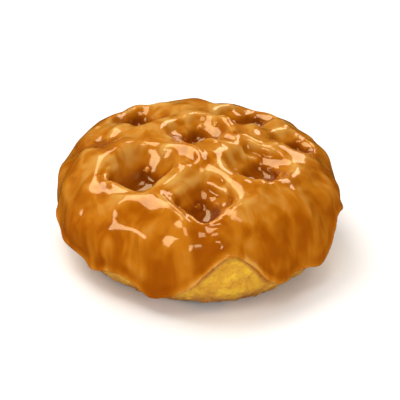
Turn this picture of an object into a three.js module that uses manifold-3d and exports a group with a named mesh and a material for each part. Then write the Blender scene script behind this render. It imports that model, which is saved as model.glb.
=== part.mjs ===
// A small round Liege waffle with a thick coat of caramel sauce, lying flat.
// Millimetres, +Z up. X and Y run along the grid's ridges, and the origin is at the middle of the
// bounding box, on the surface that the waffle lies on.
import * as THREE from "three";
import { ParametricGeometry } from "three/addons/geometries/ParametricGeometry.js";
import { mergeVertices } from "three/addons/utils/BufferGeometryUtils.js";
import Module from "manifold-3d";

// ---- Driving dimensions ----

// The dough, without its pockets: a round, flat-bottomed, domed loaf.
const DOUGH = {
  radius: 25.5, // at the seam between the two baking plates, where the dough is widest
  seamHeight: 10.2, // of that widest ring above the table
  footRadius: 17.5, // of the flat bottom
  rimRadius: 15.5, // where the top starts to round over into the side
  rimHeight: 20.3, // of the top there
  domeRise: 1.6, // of the middle of the top above that
  roundness: 2.05, // exponent of the rounded edges: 2 is an ellipse, more is squarer
  dip: 1, // how much lower the top is at its low side
  lowBearing: 0.7, // of that low side, in radians
};

// The dough spread unevenly: each lobe swells and shrinks the outline that many times round.
const LOBES = [
  { count: 2, size: 0.016, turn: 0.6 },
  { count: 3, size: 0.012, turn: 2.1 },
  { count: 5, size: 0.008, turn: 4.0 },
];

// The grid that the two plates press into the dough.
const GRID = {
  pitch: 15.4, // from ridge to ridge
  offsetX: -2.65, // of the middle pocket from the middle of the dough
  offsetY: 2.45,
  reach: 1, // pockets each way from the middle one
  crowdedFrom: 13, // distance from the middle where pockets get smaller and closer to it
  crowdedTo: 24,
  drawIn: 0.16, // share of that distance that they move in by
  shrink: 0.24, // share of their width that they lose
};

// A pocket: a rounded square that narrows towards its floor.
const POCKET = {
  mouthHalf: 5.5, // half its width just below the ridges' crests
  floorHalf: 4.1,
  flare: 0.8, // how far the crest's rounded edge widens the mouth
  topDepth: 7.3,
  bottomDepth: 5.6,
  fillet: 0.9, // round the floor
  lipShare: 0.6, // the most of a pocket's depth that the rounded edge of its mouth takes
  squareness: 4.2, // exponent of its plan: 2 is a circle, more is squarer
  shallowFrom: 20, // distance from the middle where the dough no longer filled the plates
  shallowTo: 29,
  shallowShare: 0.75, // of the depth that is lost there
};

// The sauce: a thick skin over the top and sides, deeper on the pockets' floors.
const SAUCE = {
  coat: 1.6, // its surface above the bare dough
  lip: 1, // the same at its lower edge
  thinning: 4, // height over which it thins to that
  run: 0.25, // how much thicker it is for each millimetre that a run hangs lower
  runFrom: 12, // height up to which a run has its full thickness
  runTo: 19, // height where it starts
  gap: 0.3, // kept between the two solids
  wall: 1.05, // how much narrower than the bare pocket each side of a coated pocket is
  pool: 2.1, // how much higher the coated floor is
  flare: 2.2, // how far the coated crest's rounded edge widens the mouth
  lipHeight: 3.8, // of that rounded edge
  lipSteps: 2,
  squareness: 2.9,
  // Pockets where more sauce takes up a share of the depth.
  fullerPockets: [
    { column: 0, row: 0, fill: 0.3 },
    { column: 1, row: 0, fill: 0.2 },
    { column: -1, row: 0, fill: 0.2 },
    { column: 0, row: 1, fill: 0.1 },
  ],
};

// The sauce's lower edge round the side: runs and drips, and patches of dough that stayed bare.
const EDGE = {
  height: 3.6,
  lowest: 2, // no run reaches nearer to the table than this
  slope: 0.55, // its rise for each millimetre outwards, as the sauce tapers to the dough
  fromRadius: 22.5, // where that slope starts, inside the dough
  toRadius: 32, // past the outside of the sauce
  runs: [
    { count: 9, size: 0.9, turn: 0.4 },
    { count: 5, size: 0.7, turn: 2.9 },
    { count: 14, size: 0.4, turn: 1.2 },
  ],
  barePatches: [
    { bearing: 3.95, halfWidth: 0.2, rise: 3 },
    { bearing: 5.68, halfWidth: 0.24, rise: 6.8 },
    { bearing: 0.45, halfWidth: 0.22, rise: 5 },
    { bearing: 2.2, halfWidth: 0.2, rise: 5.4 },
  ],
};

// How finely the surfaces are cut into faces.
const FACES = {
  around: 48,
  foot: 1,
  lowerSide: 6,
  upperSide: 6,
  dome: 3,
  pocketAround: 20,
  edgeAround: 96,
};

const OVERSHOOT = 1.5; // how far a cutting shape stands out of what it cuts

// ---- Solids from surfaces ----

const wasm = await Module();
wasm.setup();

// A closed surface as a solid, with its shared vertices merged and its empty triangles left out.
function solidOf(geometry) {
  geometry.deleteAttribute("normal");
  geometry.deleteAttribute("uv");
  const merged = mergeVertices(geometry, 1e-4);
  const corners = merged.getIndex().array;
  const kept = [];
  for (let i = 0; i < corners.length; i += 3) {
    const [a, b, c] = corners.subarray(i, i + 3);
    if (a !== b && b !== c && c !== a) kept.push(a, b, c);
  }
  return new wasm.Manifold(
    new wasm.Mesh({
      numProp: 3,
      vertProperties: merged.getAttribute("position").array,
      triVerts: new Uint32Array(kept),
    }),
  );
}

// A solid round an upright axis at (x, y). ringAt gives the radius and height of each ring at a
// bearing, from the bottom to the top, and the first and last rings lie on the axis.
function roundSolid(ringCount, around, ringAt, x = 0, y = 0) {
  const surface = (u, v, target) => {
    const bearing = (u + 0.5 / around) * 2 * Math.PI;
    const { r, z } = ringAt(Math.round(v * (ringCount - 1)), bearing);
    target.set(x + r * Math.cos(bearing), y + r * Math.sin(bearing), z);
  };
  return solidOf(new ParametricGeometry(surface, around, ringCount - 1));
}

// The largest body of a solid: cutting can leave loose scraps.
function largestBody(solid) {
  return solid.decompose().reduce((best, body) => (body.volume() > best.volume() ? body : best));
}

function meshOf(solid, name, material) {
  const { vertProperties, triVerts } = solid.getMesh();
  const geometry = new THREE.BufferGeometry()
    .setAttribute("position", new THREE.BufferAttribute(vertProperties, 3))
    .setIndex(new THREE.BufferAttribute(triVerts, 1));
  geometry.computeVertexNormals();
  const mesh = new THREE.Mesh(geometry, material);
  mesh.name = name;
  return mesh;
}

// The sum of a list of waves round the axis.
const sumOfWaves = (list, bearing) =>
  list.reduce((sum, { count, size, turn }) => sum + size * Math.cos(count * bearing + turn), 0);

// ---- The dough's outer surface ----

// The profile of the side between the seam and a flat stretch at the given radius and height.
function sidePoint(angle, radius, height) {
  const power = 2 / DOUGH.roundness;
  return {
    r: radius + (DOUGH.radius - radius) * Math.cos(angle) ** power,
    z: DOUGH.seamHeight + (height - DOUGH.seamHeight) * Math.sin(angle) ** power,
  };
}

// The profile from the middle of the bottom, out round the side, to the middle of the top.
function doughProfile() {
  const quarter = Math.PI / 2;
  const stretches = [
    { steps: FACES.foot, at: (t) => ({ r: DOUGH.footRadius * t, z: 0 }) },
    { steps: FACES.lowerSide, at: (t) => sidePoint((1 - t) * quarter, DOUGH.footRadius, 0) },
    { steps: FACES.upperSide, at: (t) => sidePoint(t * quarter, DOUGH.rimRadius, DOUGH.rimHeight) },
    { steps: FACES.dome, at: (t) => ({ r: DOUGH.rimRadius * (1 - t), z: crestAt(1 - t) }) },
  ];
  const points = [{ r: 0, z: 0 }];
  for (const { steps, at } of stretches) {
    for (let k = 1; k <= steps; k++) points.push(at(k / steps));
  }
  return points;
}

// The height of the domed top at a share of the rim's radius.
function crestAt(share) {
  return DOUGH.rimHeight + DOUGH.domeRise * (1 - Math.min(share, 1) ** 2);
}

// The solid whose surface lies proud(bearing, z) outside the dough's.
function doughSolid(proud) {
  const profile = doughProfile();
  const last = profile.length - 1;
  const outwards = profile.map((point, k) => {
    const [before, after] = [profile[Math.max(k - 1, 0)], profile[Math.min(k + 1, last)]];
    const along = new THREE.Vector2(after.r - before.r, after.z - before.z).normalize();
    return { r: along.y, z: -along.x };
  });
  return roundSolid(profile.length, FACES.around, (k, bearing) => {
    const { r, z } = profile[k];
    const out = proud(bearing, z);
    const wide = r * (1 + sumOfWaves(LOBES, bearing)) + (r > 0 ? out * outwards[k].r : 0);
    const dip = (DOUGH.dip / 2) * (z / DOUGH.rimHeight) * (r / DOUGH.radius);
    return { r: wide, z: z - dip * (1 + Math.cos(bearing - DOUGH.lowBearing)) + out * outwards[k].z };
  });
}

// ---- Pockets ----

// A peg of rounded square plan through stations, each a half width and a height, from low to high.
function pegSolid(stations, squareness, { x, y, size }) {
  const rings = [{ half: 0, z: stations[0].z }, ...stations, { half: 0, z: stations.at(-1).z }];
  const shape = (k, bearing) => {
    const across = Math.abs(Math.cos(bearing)) ** squareness + Math.abs(Math.sin(bearing)) ** squareness;
    return { r: size * rings[k].half * across ** (-1 / squareness), z: rings[k].z };
  };
  return roundSolid(rings.length, FACES.pocketAround, shape, x, y);
}

// Where the pockets are, and the shares of its full width and depth that each one has.
function pockets() {
  const list = [];
  for (let i = -GRID.reach; i <= GRID.reach; i++) {
    for (let j = -GRID.reach; j <= GRID.reach; j++) {
      const [x, y] = [GRID.offsetX + i * GRID.pitch, GRID.offsetY + j * GRID.pitch];
      const away = Math.hypot(x, y);
      const outer = THREE.MathUtils.smoothstep(away, POCKET.shallowFrom, POCKET.shallowTo);
      const crowded = THREE.MathUtils.smoothstep(away, GRID.crowdedFrom, GRID.crowdedTo);
      const inwards = 1 - GRID.drawIn * crowded;
      const fuller = SAUCE.fullerPockets.find(({ column, row }) => column === i && row === j);
      list.push({
        x: x * inwards,
        y: y * inwards,
        size: 1 - GRID.shrink * crowded,
        crest: crestAt((away * inwards) / DOUGH.rimRadius),
        depthShare: 1 - POCKET.shallowShare * outer,
        fill: fuller?.fill ?? 0,
        brimFull: i < 0 && j !== 0, // two corner pockets that the sauce has filled up
      });
    }
  }
  return list;
}

// A pocket from its rounded floor up to its mouth at top, where a lip widens it by flare.
function topStations({ floor, top, mouth, narrow, flare, lipHeight, lipSteps }) {
  const lip = [];
  for (let k = 0; k <= lipSteps; k++) {
    const angle = ((k / lipSteps) * Math.PI) / 2;
    const below = Math.min(lipHeight, POCKET.lipShare * (top - floor)) * (1 - Math.sin(angle));
    lip.push({ half: mouth + flare * (1 - Math.cos(angle)), z: top - below });
  }
  return [
    { half: narrow - POCKET.fillet, z: floor },
    { half: narrow, z: floor + POCKET.fillet },
    ...lip,
    { half: mouth + flare, z: top + OVERSHOOT },
  ];
}

// A bare top pocket of the dough, or what a margin all over its inside leaves of it.
function bareStations({ crest, depthShare }, margin) {
  return topStations({
    floor: crest - POCKET.topDepth * depthShare + margin,
    top: crest + POCKET.flare,
    mouth: POCKET.mouthHalf - margin,
    narrow: POCKET.floorHalf - margin,
    flare: POCKET.flare,
    lipHeight: 2 * POCKET.flare,
    lipSteps: 1,
  });
}

// What the sauce leaves open of a top pocket.
function coatedStations({ crest, depthShare, fill }) {
  return topStations({
    ...SAUCE,
    floor: crest - (POCKET.topDepth * depthShare - SAUCE.pool) * (1 - fill),
    top: crest + SAUCE.coat,
    mouth: POCKET.mouthHalf - SAUCE.wall,
    narrow: POCKET.floorHalf - SAUCE.wall,
  });
}

function bottomStations({ depthShare }) {
  const top = POCKET.bottomDepth * depthShare;
  return [
    { half: POCKET.mouthHalf + POCKET.flare, z: -OVERSHOOT },
    { half: POCKET.mouthHalf + POCKET.flare / 2, z: 0 },
    { half: POCKET.mouthHalf, z: POCKET.flare },
    { half: POCKET.floorHalf, z: top - POCKET.fillet },
    { half: POCKET.floorHalf - POCKET.fillet, z: top },
  ];
}

function cutPockets(solid, list, squareness, stationsOf) {
  const pegs = list.map((pocket) => pegSolid(stationsOf(pocket), squareness, pocket));
  return pegs.reduce((rest, peg) => rest.subtract(peg), solid);
}

// ---- The waffle and its sauce ----

const allPockets = pockets();

// The dough, grown all over its outside, and into its top pockets, by a margin.
function doughWithTopPockets(margin) {
  const loaf = doughSolid(() => margin);
  return cutPockets(loaf, allPockets, POCKET.squareness, (pocket) => bareStations(pocket, margin));
}

function makeWaffle() {
  return cutPockets(doughWithTopPockets(0), allPockets, POCKET.squareness, bottomStations);
}

// The height of the sauce's lower edge at a bearing.
function edgeHeight(bearing) {
  const bare = EDGE.barePatches.reduce((sum, patch) => {
    const away = Math.abs(bearing - patch.bearing);
    return sum + patch.rise * Math.exp(-((Math.min(away, 2 * Math.PI - away) / patch.halfWidth) ** 2));
  }, 0);
  return Math.max(EDGE.height + sumOfWaves(EDGE.runs, bearing), EDGE.lowest) + bare;
}

// All that lies below the sauce's lower edge.
function belowEdge() {
  const rise = EDGE.slope * (EDGE.toRadius - EDGE.fromRadius);
  const rings = [
    () => ({ r: 0, z: -SAUCE.coat - OVERSHOOT }),
    () => ({ r: EDGE.toRadius, z: -SAUCE.coat - OVERSHOOT }),
    (bearing) => ({ r: EDGE.toRadius, z: edgeHeight(bearing) + rise }),
    (bearing) => ({ r: EDGE.fromRadius, z: edgeHeight(bearing) }),
    () => ({ r: 0, z: EDGE.height }),
  ];
  return roundSolid(rings.length, FACES.edgeAround, (k, bearing) => rings[k](bearing));
}

function makeSauce() {
  const skin = doughSolid((bearing, z) => {
    const low = edgeHeight(bearing);
    const full = THREE.MathUtils.smoothstep(z, low, low + SAUCE.thinning);
    const side = full * (1 - THREE.MathUtils.smoothstep(z, SAUCE.runFrom, SAUCE.runTo));
    const run = -SAUCE.run * side * sumOfWaves(EDGE.runs, bearing);
    return THREE.MathUtils.lerp(SAUCE.lip, SAUCE.coat, full) + run;
  });
  const open = allPockets.filter((pocket) => !pocket.brimFull);
  const outside = cutPockets(skin, open, SAUCE.squareness, coatedStations);
  return largestBody(outside.subtract(doughWithTopPockets(SAUCE.gap)).subtract(belowEdge()));
}

const crust = new THREE.MeshStandardMaterial({ color: 0xd9a441, roughness: 0.85, metalness: 0 });
const caramel = new THREE.MeshStandardMaterial({ color: 0xc67a22, roughness: 0.15, metalness: 0 });

const waffle = new THREE.Group();
waffle.add(meshOf(makeWaffle(), "waffle", crust));
waffle.add(meshOf(makeSauce(), "caramel_sauce", caramel));

// The origin goes to the middle of the bounding box.
const middle = new THREE.Box3().setFromObject(waffle).getCenter(new THREE.Vector3());
for (const mesh of waffle.children) mesh.position.set(-middle.x, -middle.y, 0);

export default waffle;
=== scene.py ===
import math

import bmesh
import bpy
import numpy as np
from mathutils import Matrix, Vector
from mathutils.bvhtree import BVHTree


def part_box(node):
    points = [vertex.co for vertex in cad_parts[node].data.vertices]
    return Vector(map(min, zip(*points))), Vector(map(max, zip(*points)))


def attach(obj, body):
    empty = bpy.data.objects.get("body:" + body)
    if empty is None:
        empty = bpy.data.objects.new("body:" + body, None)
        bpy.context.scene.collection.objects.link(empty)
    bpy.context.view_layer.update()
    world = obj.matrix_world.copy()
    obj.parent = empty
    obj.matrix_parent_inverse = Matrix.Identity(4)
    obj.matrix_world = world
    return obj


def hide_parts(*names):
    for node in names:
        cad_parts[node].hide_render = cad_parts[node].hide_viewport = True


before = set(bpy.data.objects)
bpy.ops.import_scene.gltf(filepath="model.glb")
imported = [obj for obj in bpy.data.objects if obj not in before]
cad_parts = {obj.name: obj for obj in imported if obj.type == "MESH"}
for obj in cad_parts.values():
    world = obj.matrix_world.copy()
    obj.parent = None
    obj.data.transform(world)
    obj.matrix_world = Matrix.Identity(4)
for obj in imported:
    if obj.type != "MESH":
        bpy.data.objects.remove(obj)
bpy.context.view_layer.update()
random = np.random.default_rng(17)
perMetre = 1000  # the pieces are modelled in millimetres and brought to metres at the end


def deselectAll():
    if bpy.context.object and bpy.context.object.mode != "OBJECT":
        bpy.ops.object.mode_set(mode="OBJECT")
    bpy.ops.object.select_all(action="DESELECT")


def activate(piece):
    deselectAll()
    piece.select_set(True)
    bpy.context.view_layer.objects.active = piece


def applyModifier(piece, kind, **settings):
    activate(piece)
    modifier = piece.modifiers.new(kind.title(), kind)
    for key, value in settings.items():
        setattr(modifier, key, value)
    bpy.ops.object.modifier_apply(modifier=modifier.name)


def smooth(piece, times):
    applyModifier(piece, "SMOOTH", factor=0.5, iterations=times)


# Fuses forms that overlap into one closed skin.
def fuse(piece, voxel, smoothing):
    applyModifier(piece, "REMESH", mode="VOXEL", voxel_size=voxel)
    smooth(piece, smoothing)


# Moves a piece's skin outwards, by a share of the distance where a group of its points says so.
def swell(piece, distance, group=""):
    applyModifier(piece, "DISPLACE", strength=distance, mid_level=0, vertex_group=group)


def roughen(piece, name, relief, kind="CLOUDS", depth=0, group=""):
    texture = bpy.data.textures.new(name, kind)
    texture.noise_scale = relief["size"]
    if kind == "CLOUDS":
        texture.noise_depth = depth
    applyModifier(piece, "DISPLACE", texture=texture, texture_coords="LOCAL",
                  strength=relief["strength"], mid_level=0.5, vertex_group=group)


def duplicate(piece, name):
    activate(piece)
    bpy.ops.object.duplicate()
    copy = bpy.context.object
    copy.name = name
    return copy


def remove(piece):
    mesh = piece.data
    bpy.data.objects.remove(piece)
    bpy.data.meshes.remove(mesh)


def joinAll(pieces):
    activate(pieces[0])
    for piece in pieces[1:]:
        piece.select_set(True)
    if len(pieces) > 1:
        bpy.ops.object.join()
    return pieces[0]


def cutAway(piece, cutter, solver="EXACT"):
    applyModifier(piece, "BOOLEAN", operation="DIFFERENCE", object=cutter, solver=solver)
    remove(cutter)


def readVectors(piece, name):
    vectors = np.empty(len(piece.data.vertices) * 3, np.float32)
    piece.data.vertices.foreach_get(name, vectors)
    return vectors.reshape(-1, 3).astype(float)


def readPoints(piece):
    return readVectors(piece, "co")


def readNormals(piece):
    return readVectors(piece, "normal")


def writePoints(piece, points):
    piece.data.vertices.foreach_set("co", points.astype(np.float32).ravel())
    piece.data.update()


def storeWeights(piece, name, weights):
    group = piece.vertex_groups.new(name=name)
    for index in np.flatnonzero(weights > 0):
        group.add([int(index)], float(weights[index]), "REPLACE")


def storeShare(piece, name, values):
    attribute = piece.data.attributes.new(name, "FLOAT", "POINT")
    attribute.data.foreach_set("value", values.astype(np.float32))


def surfaceOf(piece):
    return BVHTree.FromObject(piece, bpy.context.evaluated_depsgraph_get())


def countTriangles(piece):
    return sum(len(face.vertices) - 2 for face in piece.data.polygons)


def smoothstep(value, low, high):
    share = np.clip((value - low) / (high - low), 0, 1)
    return share * share * (3 - 2 * share)


def sumOfWaves(waves, bearing):
    return sum(size * np.cos(count * bearing + turn) for count, size, turn in waves)


def bearingsOf(points):
    return np.arctan2(points[:, 1], points[:, 0])


def distancesOf(points):
    return np.hypot(points[:, 0], points[:, 1])


# An edit-mode selection of the faces or the vertices that pass a test.
def selectWhere(piece, kind, test):
    mesh = bmesh.from_edit_mesh(piece.data)
    for element in getattr(mesh, kind):
        element.select_set(bool(test(element)))
    bmesh.update_edit_mesh(piece.data)


# Merges the slivers that a cut leaves along its edge, and clears corners that only two faces share.
def weld(piece, reach):
    activate(piece)
    bpy.ops.object.mode_set(mode="EDIT")
    bpy.ops.mesh.select_mode(type="VERT")
    bpy.ops.mesh.select_all(action="SELECT")
    bpy.ops.mesh.remove_doubles(threshold=reach)
    bpy.ops.mesh.dissolve_degenerate(threshold=reach)
    bpy.ops.mesh.select_all(action="DESELECT")
    selectWhere(piece, "verts", lambda vert: len(vert.link_edges) == 2)
    bpy.ops.mesh.dissolve_verts()
    bpy.ops.object.mode_set(mode="OBJECT")


# Millimetres to metres, and the whole moved as one to where the frame has the dough.
def toFrame(pieces, shift):
    for piece in pieces:
        writePoints(piece, (readPoints(piece) + shift) / perMetre)


view = {
    "azimuth": 42,  # degrees
    "elevation": 30,
    "lens": 300,
    "width": 0.074,  # metres that the frame takes in at the waffle
    "lookAt": (0, 0, 0.0095),
}


# The way from the waffle to what stands so many degrees around it and above the table.
def directionTo(azimuth, elevation):
    around, up = math.radians(azimuth), math.radians(elevation)
    return Vector((math.sin(around) * math.cos(up), -math.cos(around) * math.cos(up), math.sin(up)))


def turnBackAlong(direction):
    return (-direction).to_track_quat("-Z", "Y").to_euler()


def addCamera():
    bpy.ops.object.camera_add()
    camera = bpy.context.object
    camera.name = "camera"
    camera.data.lens = view["lens"]
    camera.data.clip_start = 0.01
    away = view["width"] * view["lens"] / camera.data.sensor_width
    toCamera = directionTo(view["azimuth"], view["elevation"])
    camera.location = Vector(view["lookAt"]) + away * toCamera
    camera.rotation_euler = turnBackAlong(toCamera)
    bpy.context.scene.camera = camera


loafShape = {
    "radius": 25.5,  # at the seam
    "seamHeight": 10.2,
    "footRadius": 17.5,
    "rimRadius": 15.5,
    "rimHeight": 20.3,
    "domeRise": 1.6,
    "roundness": 2.05,
    "dip": 1.0,  # at the rim of its lower side
    "lowBearing": 0.7,
    "lobes": [(2, 0.016, 0.6), (3, 0.012, 2.1), (5, 0.008, 4.0)],  # count, size and turn of each wave
    "around": 120,
    "steps": 8,
    "topRings": (0.75, 0.5, 0.25, 0.08),  # shares of the rim's radius
}


def crestAt(share):
    return loafShape["rimHeight"] + loafShape["domeRise"] * (1 - min(share, 1) ** 2)


def loafRings():
    shape = loafShape
    power = 2 / shape["roundness"]
    rings = []
    for inner, level, turns in (
        (shape["footRadius"], 0, range(shape["steps"], 0, -1)),
        (shape["rimRadius"], shape["rimHeight"], range(0, shape["steps"] + 1)),
    ):
        for k in turns:
            angle = k / shape["steps"] * math.pi / 2
            out = max(math.cos(angle), 0) ** power
            up = math.sin(angle) ** power
            rings.append((inner + (shape["radius"] - inner) * out,
                          shape["seamHeight"] + (level - shape["seamHeight"]) * up))
    for share in shape["topRings"]:
        rings.append((shape["rimRadius"] * share, crestAt(share)))
    return rings


# The dough spreads unevenly between the plates and is lower on one side.
def spreadUnevenly(piece):
    points = readPoints(piece)
    bearing = bearingsOf(points)
    height = points[:, 2] / loafShape["rimHeight"]
    away = distancesOf(points) / loafShape["radius"]
    dip = loafShape["dip"] / 2 * height * away
    points[:, 2] -= dip * (1 + np.cos(bearing - loafShape["lowBearing"]))
    points[:, :2] *= 1 + sumOfWaves(loafShape["lobes"], bearing)[:, None]
    writePoints(piece, points)


# A closed turned form: a circle drawn up ring by ring.
def addRings(name, rings, around):
    bpy.ops.mesh.primitive_circle_add(vertices=around, radius=rings[0][0], location=(0, 0, 0),
                                      fill_type="NGON")
    piece = bpy.context.object
    piece.name = name
    bpy.ops.object.mode_set(mode="EDIT")
    bpy.ops.mesh.select_all(action="SELECT")
    bpy.ops.transform.translate(value=(0, 0, rings[0][1]))
    for (radius, height), (nextRadius, nextHeight) in zip(rings, rings[1:]):
        rise = (0, 0, nextHeight - height)
        bpy.ops.mesh.extrude_region_move(TRANSFORM_OT_translate={"value": rise})
        grow = nextRadius / radius
        bpy.ops.transform.resize(value=(grow, grow, 1), center_override=(0, 0, nextHeight))
    bpy.ops.mesh.select_all(action="SELECT")
    bpy.ops.mesh.normals_make_consistent(inside=False)
    bpy.ops.object.mode_set(mode="OBJECT")
    return piece


def addLoaf():
    loaf = addRings("loaf", loafRings(), loafShape["around"])
    spreadUnevenly(loaf)
    return loaf


grid = {
    "pitch": 15.4,
    "offset": (-2.65, 2.45),
    "shallow": (20, 29),  # distances from the middle between which pockets get shallower
    "shallowShare": 0.75,
    "crowded": (13, 24),  # and those between which they get smaller and closer together
    "drawIn": 0.16,
    "shrink": 0.24,
}


def pocketPlaces():
    places = []
    for column in (-1, 0, 1):
        for row in (-1, 0, 1):
            x = grid["offset"][0] + column * grid["pitch"]
            y = grid["offset"][1] + row * grid["pitch"]
            away = math.hypot(x, y)
            outer = float(smoothstep(away, *grid["shallow"]))
            crowded = float(smoothstep(away, *grid["crowded"]))
            inwards = 1 - grid["drawIn"] * crowded
            places.append({
                "step": (column, row),
                "x": x * inwards,
                "y": y * inwards,
                "size": 1 - grid["shrink"] * crowded,
                "crest": crestAt(away * inwards / loafShape["rimRadius"]),
                "depthShare": 1 - grid["shallowShare"] * outer,
                "crowded": crowded,
                "brimFull": column < 0 and row != 0,
            })
    return places


pegShape = {
    "around": 40,
    "filletSteps": 4,
    "flareSteps": 5,
    "roundShare": 0.4,  # the most of a peg's depth that one rounding takes
    "overshoot": 2.5,  # above the pocket's mouth
}


# A peg that cuts one pocket, with its floor at z = 0, rounded there and opening out at its mouth.
def addPeg(shape, depth, wobble=()):
    roundest = pegShape["roundShare"] * depth
    flare = min(shape["flare"], roundest)
    fillet = min(shape["fillet"], roundest)
    rings = []
    for k in range(pegShape["filletSteps"] + 1):
        angle = k / pegShape["filletSteps"] * math.pi / 2
        rings.append((shape["floorHalf"] - fillet * (1 - math.sin(angle)), fillet * (1 - math.cos(angle))))
    for k in range(pegShape["flareSteps"] + 1):
        angle = k / pegShape["flareSteps"] * math.pi / 2
        rings.append((shape["mouthHalf"] + flare * (1 - math.cos(angle)),
                      depth - flare * (1 - math.sin(angle))))
    rings.append((shape["mouthHalf"] + flare, depth + pegShape["overshoot"]))
    peg = addRings("peg", rings, pegShape["around"])
    points = readPoints(peg)
    bearing = bearingsOf(points)
    power = shape["squareness"]
    square = (np.abs(np.cos(bearing)) ** power + np.abs(np.sin(bearing)) ** power) ** (-1 / power)
    points[:, :2] *= (square * (1 + sumOfWaves(wobble, bearing)))[:, None]
    writePoints(peg, points)
    return peg


def settlePeg(peg, location, scale, turn=(0, 0, 0)):
    peg.location = location
    peg.scale = scale
    peg.rotation_euler = turn
    activate(peg)
    bpy.ops.object.transform_apply(location=True, rotation=True, scale=True)


doughPocket = {
    "mouthHalf": 5.5,
    "floorHalf": 4.1,
    "fillet": 0.9,
    "flare": 0.8,
    "squareness": 4.2,
    "topDepth": 7.3,
    "bottomDepth": 5.6,
}


def addDoughPegs(places):
    pegs = []
    for place in places:
        depth = doughPocket["topDepth"] * place["depthShare"]
        peg = addPeg(doughPocket, depth)
        size = place["size"]
        settlePeg(peg, (place["x"], place["y"], place["crest"] - depth), (size, size, 1))
        pegs.append(peg)
    return pegs


def addBottomPegs(places):
    pegs = []
    for place in places:
        depth = doughPocket["bottomDepth"] * place["depthShare"]
        peg = addPeg(doughPocket, depth)
        size = place["size"]
        settlePeg(peg, (place["x"], place["y"], depth), (size, size, 1), (math.pi, 0, 0))
        pegs.append(peg)
    return pegs


saucePocket = {
    "mouthHalf": 5.3,
    "floorHalf": 3.0,
    "fillet": 2.2,
    "flare": 2.2,
    "squareness": 2.9,
    "pool": 2.1,  # of sauce on a pocket's floor
    "brimDepth": 1.3,  # left of a pocket that sauce has filled up
    "brimGive": 0.3,
    "turn": 0.22,
    "stretch": 0.08,
    "slide": 0.4,
    "wobble": 0.08,
    "usual": (0.2, 1.0, 0.0),  # share filled up, growth and outward lean of a pocket
    "unusual": {
        (0, -1): (0.0, 1.12, 0.16),
        (1, -1): (0.05, 1.16, 0.12),
        (0, 0): (0.4, 0.95, 0.0),
        (1, 0): (0.4, 1.0, 0.05),
        (0, 1): (0.2, 1.0, 0.0),
        (-1, 0): (0.4, 1.0, 0.0),
    },
}


# What the sauce leaves open of each pocket is smaller, rounder and never the same twice.
def addSaucePegs(places):
    pegs = []
    for place in places:
        give = random.uniform(-1, 1, 9)  # one for each way in which pockets differ
        fill, growth, lean = saucePocket["unusual"].get(place["step"], saucePocket["usual"])
        free = doughPocket["topDepth"] * place["depthShare"] - saucePocket["pool"]
        depth = free * (1 - fill) + sauce["coat"]
        if place["brimFull"]:
            depth = saucePocket["brimDepth"] * (1 + saucePocket["brimGive"] * give[0])
        wobble = [(count, saucePocket["wobble"] / count * 2 * give[count], math.pi * give[count + 2])
                  for count in (2, 3)]
        slide = saucePocket["slide"]
        location = (place["x"] + slide * give[6], place["y"] + slide * give[7],
                    place["crest"] + sauce["coat"] - depth)
        outwards = math.atan2(place["y"], place["x"])
        turn = (-lean * math.sin(outwards), lean * math.cos(outwards), saucePocket["turn"] * give[8])
        stretch = saucePocket["stretch"] * give[1]
        size = growth * place["size"]
        peg = addPeg(saucePocket, depth, wobble)
        settlePeg(peg, location, (size * (1 + stretch), size * (1 - stretch), 1), turn)
        pegs.append(peg)
    return pegs


sauce = {
    "coat": 1.45,
    "firstVoxel": 0.45,
    "firstSmoothing": 12,
    "coreShare": 0.3,  # of the dough's faces that the hidden inside of the sauce needs
    "voxel": 0.36,
    "smoothing": 4,
    "waves": {"size": 5.0, "strength": 1.5},
    "sideWaves": 0.62,  # of the waves' strength, down the side
    "fullWaves": (10, 16),  # heights between which they grow to their full strength
    "ripples": {"size": 3.0, "strength": 0.24},
    "edgeHeight": 4.6,
    "lowest": 2.6,
    "runs": [(9, 0.9, 0.4), (5, 0.7, 2.9), (14, 0.4, 1.2)],  # count, size and turn of each wave
    # bearing, half width and rise of each
    "barePatches": [(3.95, 0.2, 3.0), (5.68, 0.24, 6.8), (0.45, 0.22, 5.0), (2.2, 0.2, 5.4)],
    "edgeWidth": 0.6,
    "sink": 1.1,
    "soak": 0.12,
    "cover": 0.6,  # over the dough, at its crests and on its pockets' walls
    "leastCover": 0.3,
    "coveredFrom": 1.5,  # above the lower edge
    "easing": 0.085,  # how far sauce draws the outermost pocket in
    "eased": (0.5, 0.9),  # how crowded a pocket is where that begins and is complete
    "weld": 0.03,
}


# The height of the sauce's lower edge, which rises over each patch of bare dough.
def edgeHeightAt(bearing):
    bare = 0
    for middle, halfWidth, rise in sauce["barePatches"]:
        away = np.abs(np.arctan2(np.sin(bearing - middle), np.cos(bearing - middle)))
        bare = bare + rise * np.exp(-(away / halfWidth) ** 2)
    return np.maximum(sauce["edgeHeight"] + sumOfWaves(sauce["runs"], bearing), sauce["lowest"]) + bare


def edgeUnder(points):
    return edgeHeightAt(bearingsOf(points))


# The sauce closes over the thin outer corner of the outermost pocket.
def easeInwards(places):
    eased = []
    for place in places:
        share = sauce["easing"] * float(smoothstep(place["crowded"], *sauce["eased"]))
        eased.append({**place, "x": place["x"] * (1 - share), "y": place["y"] * (1 - share),
                      "size": place["size"] * (1 - 2 * share)})
    return eased


dough = {
    "voxel": 0.51,
    "smoothing": 3,
    "fineMargin": 1.2,  # how far above the sauce's edge its faces are fine
    "reliefFade": (0.8, 2.4),  # heights above that edge between which its relief fades
    "coarse": {"size": 3.2, "strength": 0.6},
    "crust": {"size": 1.5, "strength": 0.45},
    "pores": {"size": 0.9, "strength": 0.5},
    "browned": (4.5, 8.5),  # distances above or below the seam between which it browns
    "brownedUpTo": (19, 22),  # and distances from the middle between which that ends
    "dry": (-0.4, 1.1),  # distances below the sauce's edge between which it gets dry
}


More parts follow.
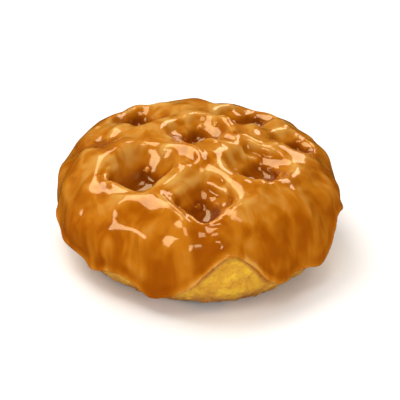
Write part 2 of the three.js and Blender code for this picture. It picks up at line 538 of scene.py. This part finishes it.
# The finer faces that bare crumb needs for its relief.
def refineBare(piece):
    activate(piece)
    bpy.ops.object.mode_set(mode="EDIT")
    bpy.ops.mesh.select_mode(type="FACE")

    def isBare(face):
        centre = face.calc_center_median()
        return centre.z < edgeHeightAt(np.arctan2(centre.y, centre.x)) + dough["fineMargin"]

    selectWhere(piece, "faces", isBare)
    bpy.ops.mesh.subdivide(number_cuts=1)
    bpy.ops.object.mode_set(mode="OBJECT")


def makeDough(loaf, places):
    piece = duplicate(loaf, "waffleDough")
    cutAway(piece, joinAll(addDoughPegs(places)))
    cutAway(piece, joinAll(addBottomPegs(places)))
    core = duplicate(loaf, "core")
    cutAway(core, joinAll(addDoughPegs(easeInwards(places))))
    for shape in (piece, core):
        fuse(shape, dough["voxel"], dough["smoothing"])
    swell(core, -sauce["soak"])
    refineBare(piece)
    points = readPoints(piece)
    above = points[:, 2] - edgeUnder(points)
    storeWeights(piece, "showing", 1 - smoothstep(above, *dough["reliefFade"]))
    roughen(piece, "crumbCoarse", dough["coarse"], depth=2, group="showing")
    roughen(piece, "crumbCrust", dough["crust"], depth=2, group="showing")
    roughen(piece, "crumbPores", dough["pores"], "VORONOI", group="showing")
    points = readPoints(piece)
    points[:, 2] = np.maximum(points[:, 2], 0)
    writePoints(piece, points)
    fromSeam = np.abs(points[:, 2] - loafShape["seamHeight"])
    away = distancesOf(points)
    storeShare(piece, "browning", np.maximum(smoothstep(fromSeam, *dough["browned"]),
                                             1 - smoothstep(away, *dough["brownedUpTo"])))
    below = edgeUnder(points) - points[:, 2]
    storeShare(piece, "soaked", 1 - smoothstep(below, *dough["dry"]))
    return piece, core


flow = {
    "sideDraw": 0.55,  # how much thinner the sauce is on the side, between its drips
    "sideFrom": (16, 21),  # distances from the middle between which the side begins
    "sideTop": (19.5, 22.5),  # heights between which it ends
    "beadHeight": 1.3,  # of the bead's middle, above the lower edge
    "beadWidth": 0.9,
    "beadStrength": 0.55,
    "bearings": 720,  # at which the lower edge is searched for drips
    "dripSteps": 12,
    "dripTop": (8, 16),
    "dripSway": 0.12,
    "dripWidth": (1.2, 2.2),
    "dripStrength": (0.35, 0.75),
    "dripSwell": 0.6,
    "dripFade": 0.9,
    "bulb": 0.4,
    "bulbWidth": 1.2,  # of its drip's
    "folds": 12,
    "foldSteps": 14,
    "foldBend": 0.12,
    "foldLength": (7, 17),
    "foldWidth": (0.6, 1.1),
    "foldStrength": (0.3, 0.6),
    "bubbles": 14,
    "bubbleSpread": 22,
    "bubbleRadius": (0.4, 0.8),
    "bubbleRise": 0.5,  # of its radius
    "bubbleFullness": 0.8,
}


# Raises a soft ridge along a path of points, wider towards its end and lower at its start.
def raiseRidge(points, normals, path, width, strength, swelling=0.4, fade=0.0):
    nearest = np.full(len(points), np.inf)
    place = np.zeros(len(points))
    for k, (start, end) in enumerate(zip(path, path[1:])):
        along = end - start
        share = np.clip(((points - start) @ along) / max(along @ along, 1e-9), 0, 1)
        reach = width * (1 + swelling * k / len(path))
        away = np.linalg.norm(points - start - share[:, None] * along, axis=1) / reach
        place = np.where(away < nearest, (k + share) / (len(path) - 1), place)
        nearest = np.minimum(nearest, away)
    rise = strength * (1 - fade * (1 - place)) * np.exp(-nearest ** 2)
    return points + normals * rise[:, None]


def pointOnSide(surface, bearing, height):
    toAxis = Vector((-math.cos(bearing), -math.sin(bearing), 0))
    hit = surface.ray_cast(Vector((0, 0, height)) - 2 * loafShape["radius"] * toAxis, toAxis)[0]
    return hit and np.array(hit)


def pointOnTop(surface, x, y):
    hit = surface.ray_cast(Vector((x, y, 2 * loafShape["rimHeight"])), Vector((0, 0, -1)))[0]
    return np.array(hit) if hit and hit.z > loafShape["seamHeight"] else None


# Where the sauce's lower edge hangs lowest, a drip has run down to it.
def addDrips(points, normals, surface):
    bearings = np.linspace(0, 2 * math.pi, flow["bearings"], endpoint=False)
    low = edgeHeightAt(bearings)
    for around in bearings[(low < np.roll(low, 1)) & (low <= np.roll(low, -1))]:
        top = random.uniform(*flow["dripTop"])
        sway = random.uniform(-flow["dripSway"], flow["dripSway"])
        width = random.uniform(*flow["dripWidth"])
        strength = random.uniform(*flow["dripStrength"])
        path = []
        for share in np.linspace(0, 1, flow["dripSteps"]):
            here = around + sway * (1 - share) * math.sin(3 * share)
            bottom = float(edgeHeightAt(here)) + flow["beadHeight"]
            point = pointOnSide(surface, here, top + (bottom - top) * share)
            if point is not None:
                path.append(point)
        points = raiseRidge(points, normals, path, width, strength, flow["dripSwell"], flow["dripFade"])
        points = raiseRidge(points, normals, path[-2:], flow["bulbWidth"] * width, flow["bulb"])
    return points


def addFolds(points, normals, surface):
    for k in range(flow["folds"]):
        heading, turn = random.uniform(0, 2 * math.pi, 2)
        bend = random.uniform(-flow["foldBend"], flow["foldBend"])
        length = random.uniform(*flow["foldLength"])
        spread = loafShape["rimRadius"] * math.sqrt(random.random())
        x, y = spread * math.cos(turn), spread * math.sin(turn)
        width = random.uniform(*flow["foldWidth"])
        strength = random.uniform(*flow["foldStrength"])
        path = []
        for step in range(flow["foldSteps"]):
            x += length / flow["foldSteps"] * math.cos(heading)
            y += length / flow["foldSteps"] * math.sin(heading)
            heading += bend
            point = pointOnTop(surface, x, y)
            if point is not None:
                path.append(point)
        points = raiseRidge(points, normals, path, width, strength)
    return points


# Sauce has run down the side in drips, and lies on top in the folds it was poured in.
def addFlow(piece):
    surface = surfaceOf(piece)
    points, normals = readPoints(piece), readNormals(piece)
    aboveBead = points[:, 2] - edgeUnder(points) - flow["beadHeight"]
    bead = np.exp(-(aboveBead / flow["beadWidth"]) ** 2)
    outer = smoothstep(distancesOf(points), *flow["sideFrom"])
    side = outer * (1 - smoothstep(points[:, 2], *flow["sideTop"]))
    points += normals * (flow["beadStrength"] * bead - flow["sideDraw"] * side)[:, None]
    points = addDrips(points, normals, surface)
    points = addFolds(points, normals, surface)
    writePoints(piece, points)


def addBubbles(piece):
    surface = surfaceOf(piece)
    points, normals = readPoints(piece), readNormals(piece)
    for k in range(flow["bubbles"]):
        spread = flow["bubbleSpread"] * math.sqrt(random.random())
        turn = random.uniform(0, 2 * math.pi)
        radius = random.uniform(*flow["bubbleRadius"])
        middle = pointOnTop(surface, spread * math.cos(turn), spread * math.sin(turn))
        if middle is not None:
            away = np.linalg.norm(points - middle, axis=1) / radius
            height = np.clip(1 - away ** 2, 0, 1) ** flow["bubbleFullness"]
            points += normals * (flow["bubbleRise"] * radius * height)[:, None]
    writePoints(piece, points)


# The coat dives under the dough's skin below its lower edge.
def markBare(piece):
    points = readPoints(piece)
    low = edgeUnder(points)
    storeWeights(piece, "bare", 1 - smoothstep(points[:, 2], low, low + sauce["edgeWidth"]))


# Above its lower edge the coat is nowhere thinner than its least cover over dough that faces its way.
def keepCover(piece, core):
    surface = surfaceOf(core)
    points, normals = readPoints(piece), readNormals(piece)
    for index in np.flatnonzero(points[:, 2] > edgeUnder(points) + sauce["coveredFrom"]):
        nearest, normal = surface.find_nearest(Vector(points[index]))[:2]
        lacking = sauce["leastCover"] - (Vector(points[index]) - nearest).dot(normal)
        if lacking > 0 and normal.dot(Vector(normals[index])) > 0:
            points[index] += lacking * np.array(normal)
    writePoints(piece, points)


# A thin skin all over the dough above the sauce's edge, which the remesh fuses with the coat.
def makeCover(core):
    cover = duplicate(core, "cover")
    markBare(cover)
    swell(cover, sauce["cover"])
    swell(cover, -sauce["cover"] - sauce["sink"], "bare")
    return cover


# How deep the sauce looks: deeper where it is thick, which is its own colour, with painted shade where it
# is sunk below the rim and on the side, and a painted sheen on a crest with painted shade in creases.
toneShadeSheenShares = {
    "base": 0.28,
    "thick": 0.4,
    "thickness": (0.9, 3.2),
    # painted shade in the pockets, deeper the lower the sauce lies below the rim
    "pocketShade": 0.4,
    "belowRim": (-0.6, 3.6),
    "pocketShadeUpTo": (20.5, 23.5),  # distances from the middle between which that ends
    # painted shade down the outer side
    "side": 0.24,
    "sideFrom": (21, 24.5),
    # painted sheen on convex crests, and painted shade in concave creases
    "crest": 0.55,
    "crestRise": 0.25,  # above the same skin smoothed
    "crestSmoothing": 24,
}


# How far each of a piece's points is from the dough's surface.
def measureDepth(piece, core):
    surface = surfaceOf(core)
    return np.array([surface.find_nearest(vert.co)[3] for vert in piece.data.vertices])


def storeToneShadeSheen(piece, core):
    points = readPoints(piece)
    away = distancesOf(points)
    # painted shade in the pockets, below the rim
    pocketShade = (smoothstep(loafShape["rimHeight"] - points[:, 2], *toneShadeSheenShares["belowRim"])
            * (1 - smoothstep(away, *toneShadeSheenShares["pocketShadeUpTo"])))
    # painted shade on the outer side
    side = smoothstep(away, *toneShadeSheenShares["sideFrom"])
    # painted sheen on crests and painted shade in creases, from how far the skin stands out of a smoothed
    # copy
    rounded = duplicate(piece, "rounded")
    smooth(rounded, toneShadeSheenShares["crestSmoothing"])
    convex = ((points - readPoints(rounded)) * readNormals(piece)).sum(1)
    remove(rounded)
    thick = smoothstep(measureDepth(piece, core), *toneShadeSheenShares["thickness"])
    crest = np.clip(convex / toneShadeSheenShares["crestRise"], -1, 1)
    toneShadeSheen = (toneShadeSheenShares["base"] + toneShadeSheenShares["thick"] * thick + toneShadeSheenShares["pocketShade"] * pocketShade
            + toneShadeSheenShares["side"] * side - toneShadeSheenShares["crest"] * crest)
    storeShare(piece, "sauceTone", np.clip(toneShadeSheen, 0, 1))


def makeSauce(loaf, places, core):
    piece = duplicate(loaf, "caramelCoat")
    swell(piece, sauce["coat"])
    cutAway(piece, joinAll(addSaucePegs(places)))
    fuse(piece, sauce["firstVoxel"], sauce["firstSmoothing"])
    markBare(piece)
    addFlow(piece)
    full = smoothstep(readPoints(piece)[:, 2], *sauce["fullWaves"])
    storeWeights(piece, "wavy", 1 - (1 - sauce["sideWaves"]) * (1 - full))
    roughen(piece, "sauceWaves", sauce["waves"], group="wavy")
    swell(piece, -sauce["coat"] - sauce["sink"], "bare")
    piece = joinAll([piece, makeCover(core)])
    fuse(piece, sauce["voxel"], sauce["smoothing"])
    roughen(piece, "sauceRipples", sauce["ripples"])
    keepCover(piece, core)
    addBubbles(piece)
    applyModifier(core, "DECIMATE", ratio=sauce["coreShare"])
    kept = duplicate(core, "keptCore")
    cutAway(piece, core, "MANIFOLD")
    weld(piece, sauce["weld"])
    storeToneShadeSheen(piece, kept)
    remove(kept)
    return piece


def newGroup(name, inputs, outputs):
    group = bpy.data.node_groups.new(name, "ShaderNodeTree")
    for label, kind, default in inputs:
        socket = group.interface.new_socket(label, in_out="INPUT", socket_type="NodeSocket" + kind)
        if default is not None:
            socket.default_value = default
    for label, kind in outputs:
        group.interface.new_socket(label, in_out="OUTPUT", socket_type="NodeSocket" + kind)
    start = group.nodes.new("NodeGroupInput")
    end = group.nodes.new("NodeGroupOutput")
    return group, start.outputs, end.inputs


# Links a socket to what is given if that is a socket too, and otherwise sets it.
def feed(tree, socket, value):
    if isinstance(value, bpy.types.NodeSocket):
        tree.links.new(value, socket)
    else:
        socket.default_value = value


def addNode(tree, kind, inputs=None, **settings):
    node = tree.nodes.new("ShaderNode" + kind)
    for key, value in settings.items():
        setattr(node, key, value)
    for key, value in (inputs or {}).items():
        feed(tree, node.inputs[key], value)
    return node


def addMath(tree, operation, *values):
    return addNode(tree, "Math", dict(enumerate(values)), operation=operation).outputs[0]


def addMix(tree, share, first, second):
    node = addNode(tree, "Mix", {"Factor": share}, data_type="RGBA")
    feed(tree, node.inputs[6], first)  # the two colours are the node's sockets 6 and 7, and 2 is their mix
    feed(tree, node.inputs[7], second)
    return node.outputs[2]


def addRange(tree, value, low, high, toLow=0.0, toHigh=1.0):
    node = addNode(tree, "MapRange", {"Value": value, "From Min": low, "From Max": high,
                                      "To Min": toLow, "To Max": toHigh}, interpolation_type="SMOOTHSTEP")
    return node.outputs["Result"]


def addRamp(tree, value, stops):
    ramp = addNode(tree, "ValToRGB", {"Fac": value})
    elements = ramp.color_ramp.elements
    while len(elements) < len(stops):
        elements.new(0.5)
    for element, (place, color) in zip(elements, stops):
        element.position = place
        element.color = color
    return ramp.outputs["Color"]


# A patchy mask over the surface: noise of one size, cut to the share that shows.
def makePatchGroup():
    group, given, result = newGroup("patches", [
        ("Vector", "Vector", None), ("Scale", "Float", 500.0), ("Detail", "Float", 3.0),
        ("From", "Float", 0.4), ("To", "Float", 0.6), ("Stretch", "Float", 0.0)], [("Mask", "Float")])
    noise = addNode(group, "TexNoise", {"Vector": given["Vector"], "Scale": given["Scale"],
                                        "Detail": given["Detail"], "Distortion": given["Stretch"]})
    ranged = addNode(group, "MapRange", {"Value": noise.outputs["Fac"], "From Min": given["From"],
                                         "From Max": given["To"]}, interpolation_type="SMOOTHSTEP")
    group.links.new(ranged.outputs["Result"], result["Mask"])
    return group


def addPatches(tree, group, vector, patches):
    node = tree.nodes.new("ShaderNodeGroup")
    node.node_tree = group
    tree.links.new(vector, node.inputs["Vector"])
    for key, value in patches.items():
        node.inputs[key].default_value = value
    return node.outputs["Mask"]


def newMaterial(name):
    material = bpy.data.materials.new(name)
    material.use_nodes = True
    tree = material.node_tree
    return material, tree, tree.nodes["Principled BSDF"]


def setInputs(shader, values):
    for key, value in values.items():
        shader.inputs[key].default_value = value


def dress(piece, material):
    piece.data.materials.clear()
    piece.data.materials.append(material)


caramel = {
    # from thin sauce on a crest to a deep pool; the pale end also paints a sheen on crests, the deep end
    # painted shade in pockets and on the side
    "toneShadeSheenRamp": [(0.0, (0.57, 0.285, 0.055, 1)), (0.35, (0.45, 0.147, 0.006, 1)),
              (0.65, (0.325, 0.08, 0.001, 1)), (1.0, (0.21, 0.038, 0.0006, 1))],
    "drawnOut": (1, 1, 0.3),  # the streaks run down the side
    "streaks": {"Scale": 260, "From": 0.3, "To": 0.7, "Detail": 2.0, "Stretch": 0.6},
    "streakShift": 0.44,  # of tone, from the palest streak to the deepest
    "milky": {"Scale": 520, "From": 0.4, "To": 0.75, "Detail": 3.0},
    "roughness": 0.07,
    "milkyRoughness": 0.12,
    "grain": {"Scale": 900.0, "Detail": 2.0},
    "bump": {"Strength": 0.03, "Distance": 0.0003},
    "shader": {
        "IOR": 1.8,
        "Specular Tint": (1, 0.77, 0.44, 1),
        "Subsurface Weight": 0.35,
        "Subsurface Radius": (1.0, 0.38, 0.1),
        "Subsurface Scale": 0.0012,
    },
}


def makeCaramel(patchGroup):
    material, tree, shader = newMaterial("caramelSauce")
    place = addNode(tree, "TexCoord").outputs["Object"]
    # the sauce's own depth of colour, with painted shade in pockets and on the side and a painted sheen on
    # crests
    toneShadeSheen = addNode(tree, "Attribute", attribute_name="sauceTone").outputs["Fac"]
    drawn = addNode(tree, "Mapping", {"Vector": place, "Scale": caramel["drawnOut"]}).outputs["Vector"]
    streaks = addPatches(tree, patchGroup, drawn, caramel["streaks"])
    milky = addPatches(tree, patchGroup, place, caramel["milky"])
    shift = caramel["streakShift"]
    streakedToneShadeSheen = addMath(tree, "ADD", toneShadeSheen, addMath(tree, "MULTIPLY_ADD", streaks, shift, -shift / 2))
    tree.links.new(addRamp(tree, streakedToneShadeSheen, caramel["toneShadeSheenRamp"]), shader.inputs["Base Color"])
    roughness = addRange(tree, milky, 0, 1, caramel["roughness"], caramel["milkyRoughness"])
    tree.links.new(roughness, shader.inputs["Roughness"])
    grain = addNode(tree, "TexNoise", {"Vector": place, **caramel["grain"]}).outputs["Fac"]
    bump = addNode(tree, "Bump", {"Height": grain, **caramel["bump"]})
    tree.links.new(bump.outputs["Normal"], shader.inputs["Normal"])
    setInputs(shader, caramel["shader"])
    return material


crumb = {
    "yellow": (0.68, 0.40, 0.018, 1),
    "golden": (0.55, 0.26, 0.010, 1),
    "brown": (0.32, 0.115, 0.010, 1),
    "soaked": (0.42, 0.15, 0.010, 1),
    "blotches": {"Scale": 260, "From": 0.35, "To": 0.65, "Detail": 4.0},
    "specks": {"Scale": 1500, "From": 0.56, "To": 0.7, "Detail": 2.0},
    "speckShare": 0.45,
    "browningShare": (0.65, 1.0),  # of the browning that shows, outside the blotches and in them
    "roughness": (0.82, 0.3),  # dry and soaked
    "pores": {"Scale": 900.0, "Randomness": 1.0},
    "grain": {"Scale": 1400.0, "Detail": 4.0},
    "bump": {"Strength": 0.5, "Distance": 0.0003},
    "shader": {
        "Subsurface Weight": 0.2,
        "Subsurface Radius": (1.0, 0.6, 0.25),
        "Subsurface Scale": 0.001,
    },
}


def makeCrumb(patchGroup):
    material, tree, shader = newMaterial("bakedCrumb")
    place = addNode(tree, "TexCoord").outputs["Object"]
    browning = addNode(tree, "Attribute", attribute_name="browning").outputs["Fac"]
    soaked = addNode(tree, "Attribute", attribute_name="soaked").outputs["Fac"]
    blotches = addPatches(tree, patchGroup, place, crumb["blotches"])
    specks = addPatches(tree, patchGroup, place, crumb["specks"])
    color = addMix(tree, blotches, crumb["yellow"], crumb["golden"])
    uneven = addMath(tree, "MULTIPLY", browning, addRange(tree, blotches, 0, 1, *crumb["browningShare"]))
    color = addMix(tree, uneven, color, crumb["brown"])
    color = addMix(tree, addMath(tree, "MULTIPLY", specks, crumb["speckShare"]), color, crumb["brown"])
    color = addMix(tree, soaked, color, crumb["soaked"])
    tree.links.new(color, shader.inputs["Base Color"])
    tree.links.new(addRange(tree, soaked, 0, 1, *crumb["roughness"]), shader.inputs["Roughness"])
    pores = addNode(tree, "TexVoronoi", {"Vector": place, **crumb["pores"]}).outputs["Distance"]
    grain = addNode(tree, "TexNoise", {"Vector": place, **crumb["grain"]}).outputs["Fac"]
    bump = addNode(tree, "Bump", {"Height": addMath(tree, "ADD", pores, grain), **crumb["bump"]})
    tree.links.new(bump.outputs["Normal"], shader.inputs["Normal"])
    setInputs(shader, crumb["shader"])
    return material


tabletop = {
    "size": 3,  # metres
    "shader": {"Base Color": (0.93, 0.93, 0.93, 1), "Roughness": 0.6},
}


def addFloor():
    bpy.ops.mesh.primitive_plane_add(size=tabletop["size"], location=(0, 0, 0))
    floor = bpy.context.object
    floor.name = "floor"
    material, _, shader = newMaterial("paleFloor")
    setInputs(shader, tabletop["shader"])
    dress(floor, material)
    floor.visible_glossy = False


surround = {
    "light": 0.5,
    "wall": (0.48, 0.28, 0.07, 1),  # pale, behind the waffle, and seen in its gloss alone
    "wallTurn": 25,  # degrees, from right behind towards the key light
    "wallFade": (0.1, 0.6),  # from its edge to where it is plain
    "wallFoot": (0.02, 0.14),
    "wallTop": (0.55, 0.8),
    "dark": (0.14, 0.06, 0.012, 1),  # elsewhere in the gloss
}


# A white surround for the soft light, with a pale wall and a dark room for the gloss to reflect.
def addWorld():
    world = bpy.data.worlds.new("studio")
    bpy.context.scene.world = world
    world.use_nodes = True
    tree = world.node_tree
    white = tree.nodes["Background"]
    setInputs(white, {"Color": (1, 1, 1, 1), "Strength": surround["light"]})
    around = math.radians(view["azimuth"] + surround["wallTurn"])
    toWall = (-math.sin(around), math.cos(around), 0)
    direction = addNode(tree, "TexCoord").outputs["Generated"]
    behind = addNode(tree, "VectorMath", {0: direction, 1: toWall}, operation="DOT_PRODUCT")
    height = addNode(tree, "SeparateXYZ", {0: direction}).outputs["Z"]
    share = addMath(tree, "MULTIPLY", addRange(tree, behind.outputs["Value"], *surround["wallFade"]),
                    addRange(tree, height, *surround["wallFoot"]))
    share = addMath(tree, "MULTIPLY", share, addRange(tree, height, *surround["wallTop"], 1.0, 0.0))
    seen = addNode(tree, "Background", {"Color": addMix(tree, share, surround["dark"], surround["wall"])})
    isGlossy = addNode(tree, "LightPath").outputs["Is Glossy Ray"]
    mixed = addNode(tree, "MixShader", {0: isGlossy, 1: white.outputs[0], 2: seen.outputs[0]})
    tree.links.new(mixed.outputs[0], tree.nodes["World Output"].inputs["Surface"])


lights = {
    "color": (1, 0.96, 0.9),
    "distance": 0.6,  # metres, as the sizes are
    "softboxes": [  # each turned from the camera's azimuth by degrees, with its power in watts
        {"name": "keyLight", "turn": -118, "elevation": 62, "size": (0.5, 0.36), "power": 2.5},
        {"name": "windowLight", "turn": -64, "elevation": 20, "size": (0.32, 0.17), "power": 0.87},
        {"name": "lowLight", "turn": 14, "elevation": 9, "size": (0.18, 0.1), "power": 0.25},
        {"name": "fillLight", "turn": 25, "elevation": 22, "size": (0.3, 0.3), "power": 1.3,
         "inGloss": False},
        {"name": "topLight", "turn": -10, "elevation": 68, "size": (0.22, 0.22), "power": 0.55},
        {"name": "backLight", "turn": 150, "elevation": 42, "size": (0.3, 0.22), "power": 0.92},
    ],
}


def addSoftbox(name, turn, elevation, size, power, inGloss=True):
    bpy.ops.object.light_add(type="AREA")
    light = bpy.context.object
    light.name = name
    light.data.shape = "RECTANGLE"
    light.data.size, light.data.size_y = size
    light.data.energy = power
    light.data.color = lights["color"]
    light.visible_glossy = inGloss
    toLight = directionTo(view["azimuth"] + turn, elevation)
    light.location = lights["distance"] * toLight
    light.rotation_euler = turnBackAlong(toLight)


addCamera()
print("camera placed")

places = pocketPlaces()
loaf = addLoaf()
print("loaf modelled")
doughPiece, core = makeDough(loaf, places)
print("dough modelled:", countTriangles(doughPiece), "triangles")
saucePiece = makeSauce(loaf, places, core)
print("sauce modelled:", countTriangles(saucePiece), "triangles")
loafPoints = readPoints(loaf)
remove(loaf)

low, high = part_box("waffle")
middle = perMetre * np.array((low + high) / 2)
shift = middle - (loafPoints.min(0) + loafPoints.max(0)) / 2
shift[2] = 0
toFrame((doughPiece, saucePiece), shift)

patchGroup = makePatchGroup()
dress(doughPiece, makeCrumb(patchGroup))
dress(saucePiece, makeCaramel(patchGroup))
for piece, node, slot in ((doughPiece, "waffle", "crumb"), (saucePiece, "caramel_sauce", "caramel")):
    activate(piece)
    bpy.ops.object.shade_smooth()
    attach(piece, "root")
    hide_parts(node)
print("pieces dressed")

addFloor()
addWorld()
for softbox in lights["softboxes"]:
    addSoftbox(**softbox)
bpy.context.scene.view_settings.view_transform = "Standard"
print("lit")
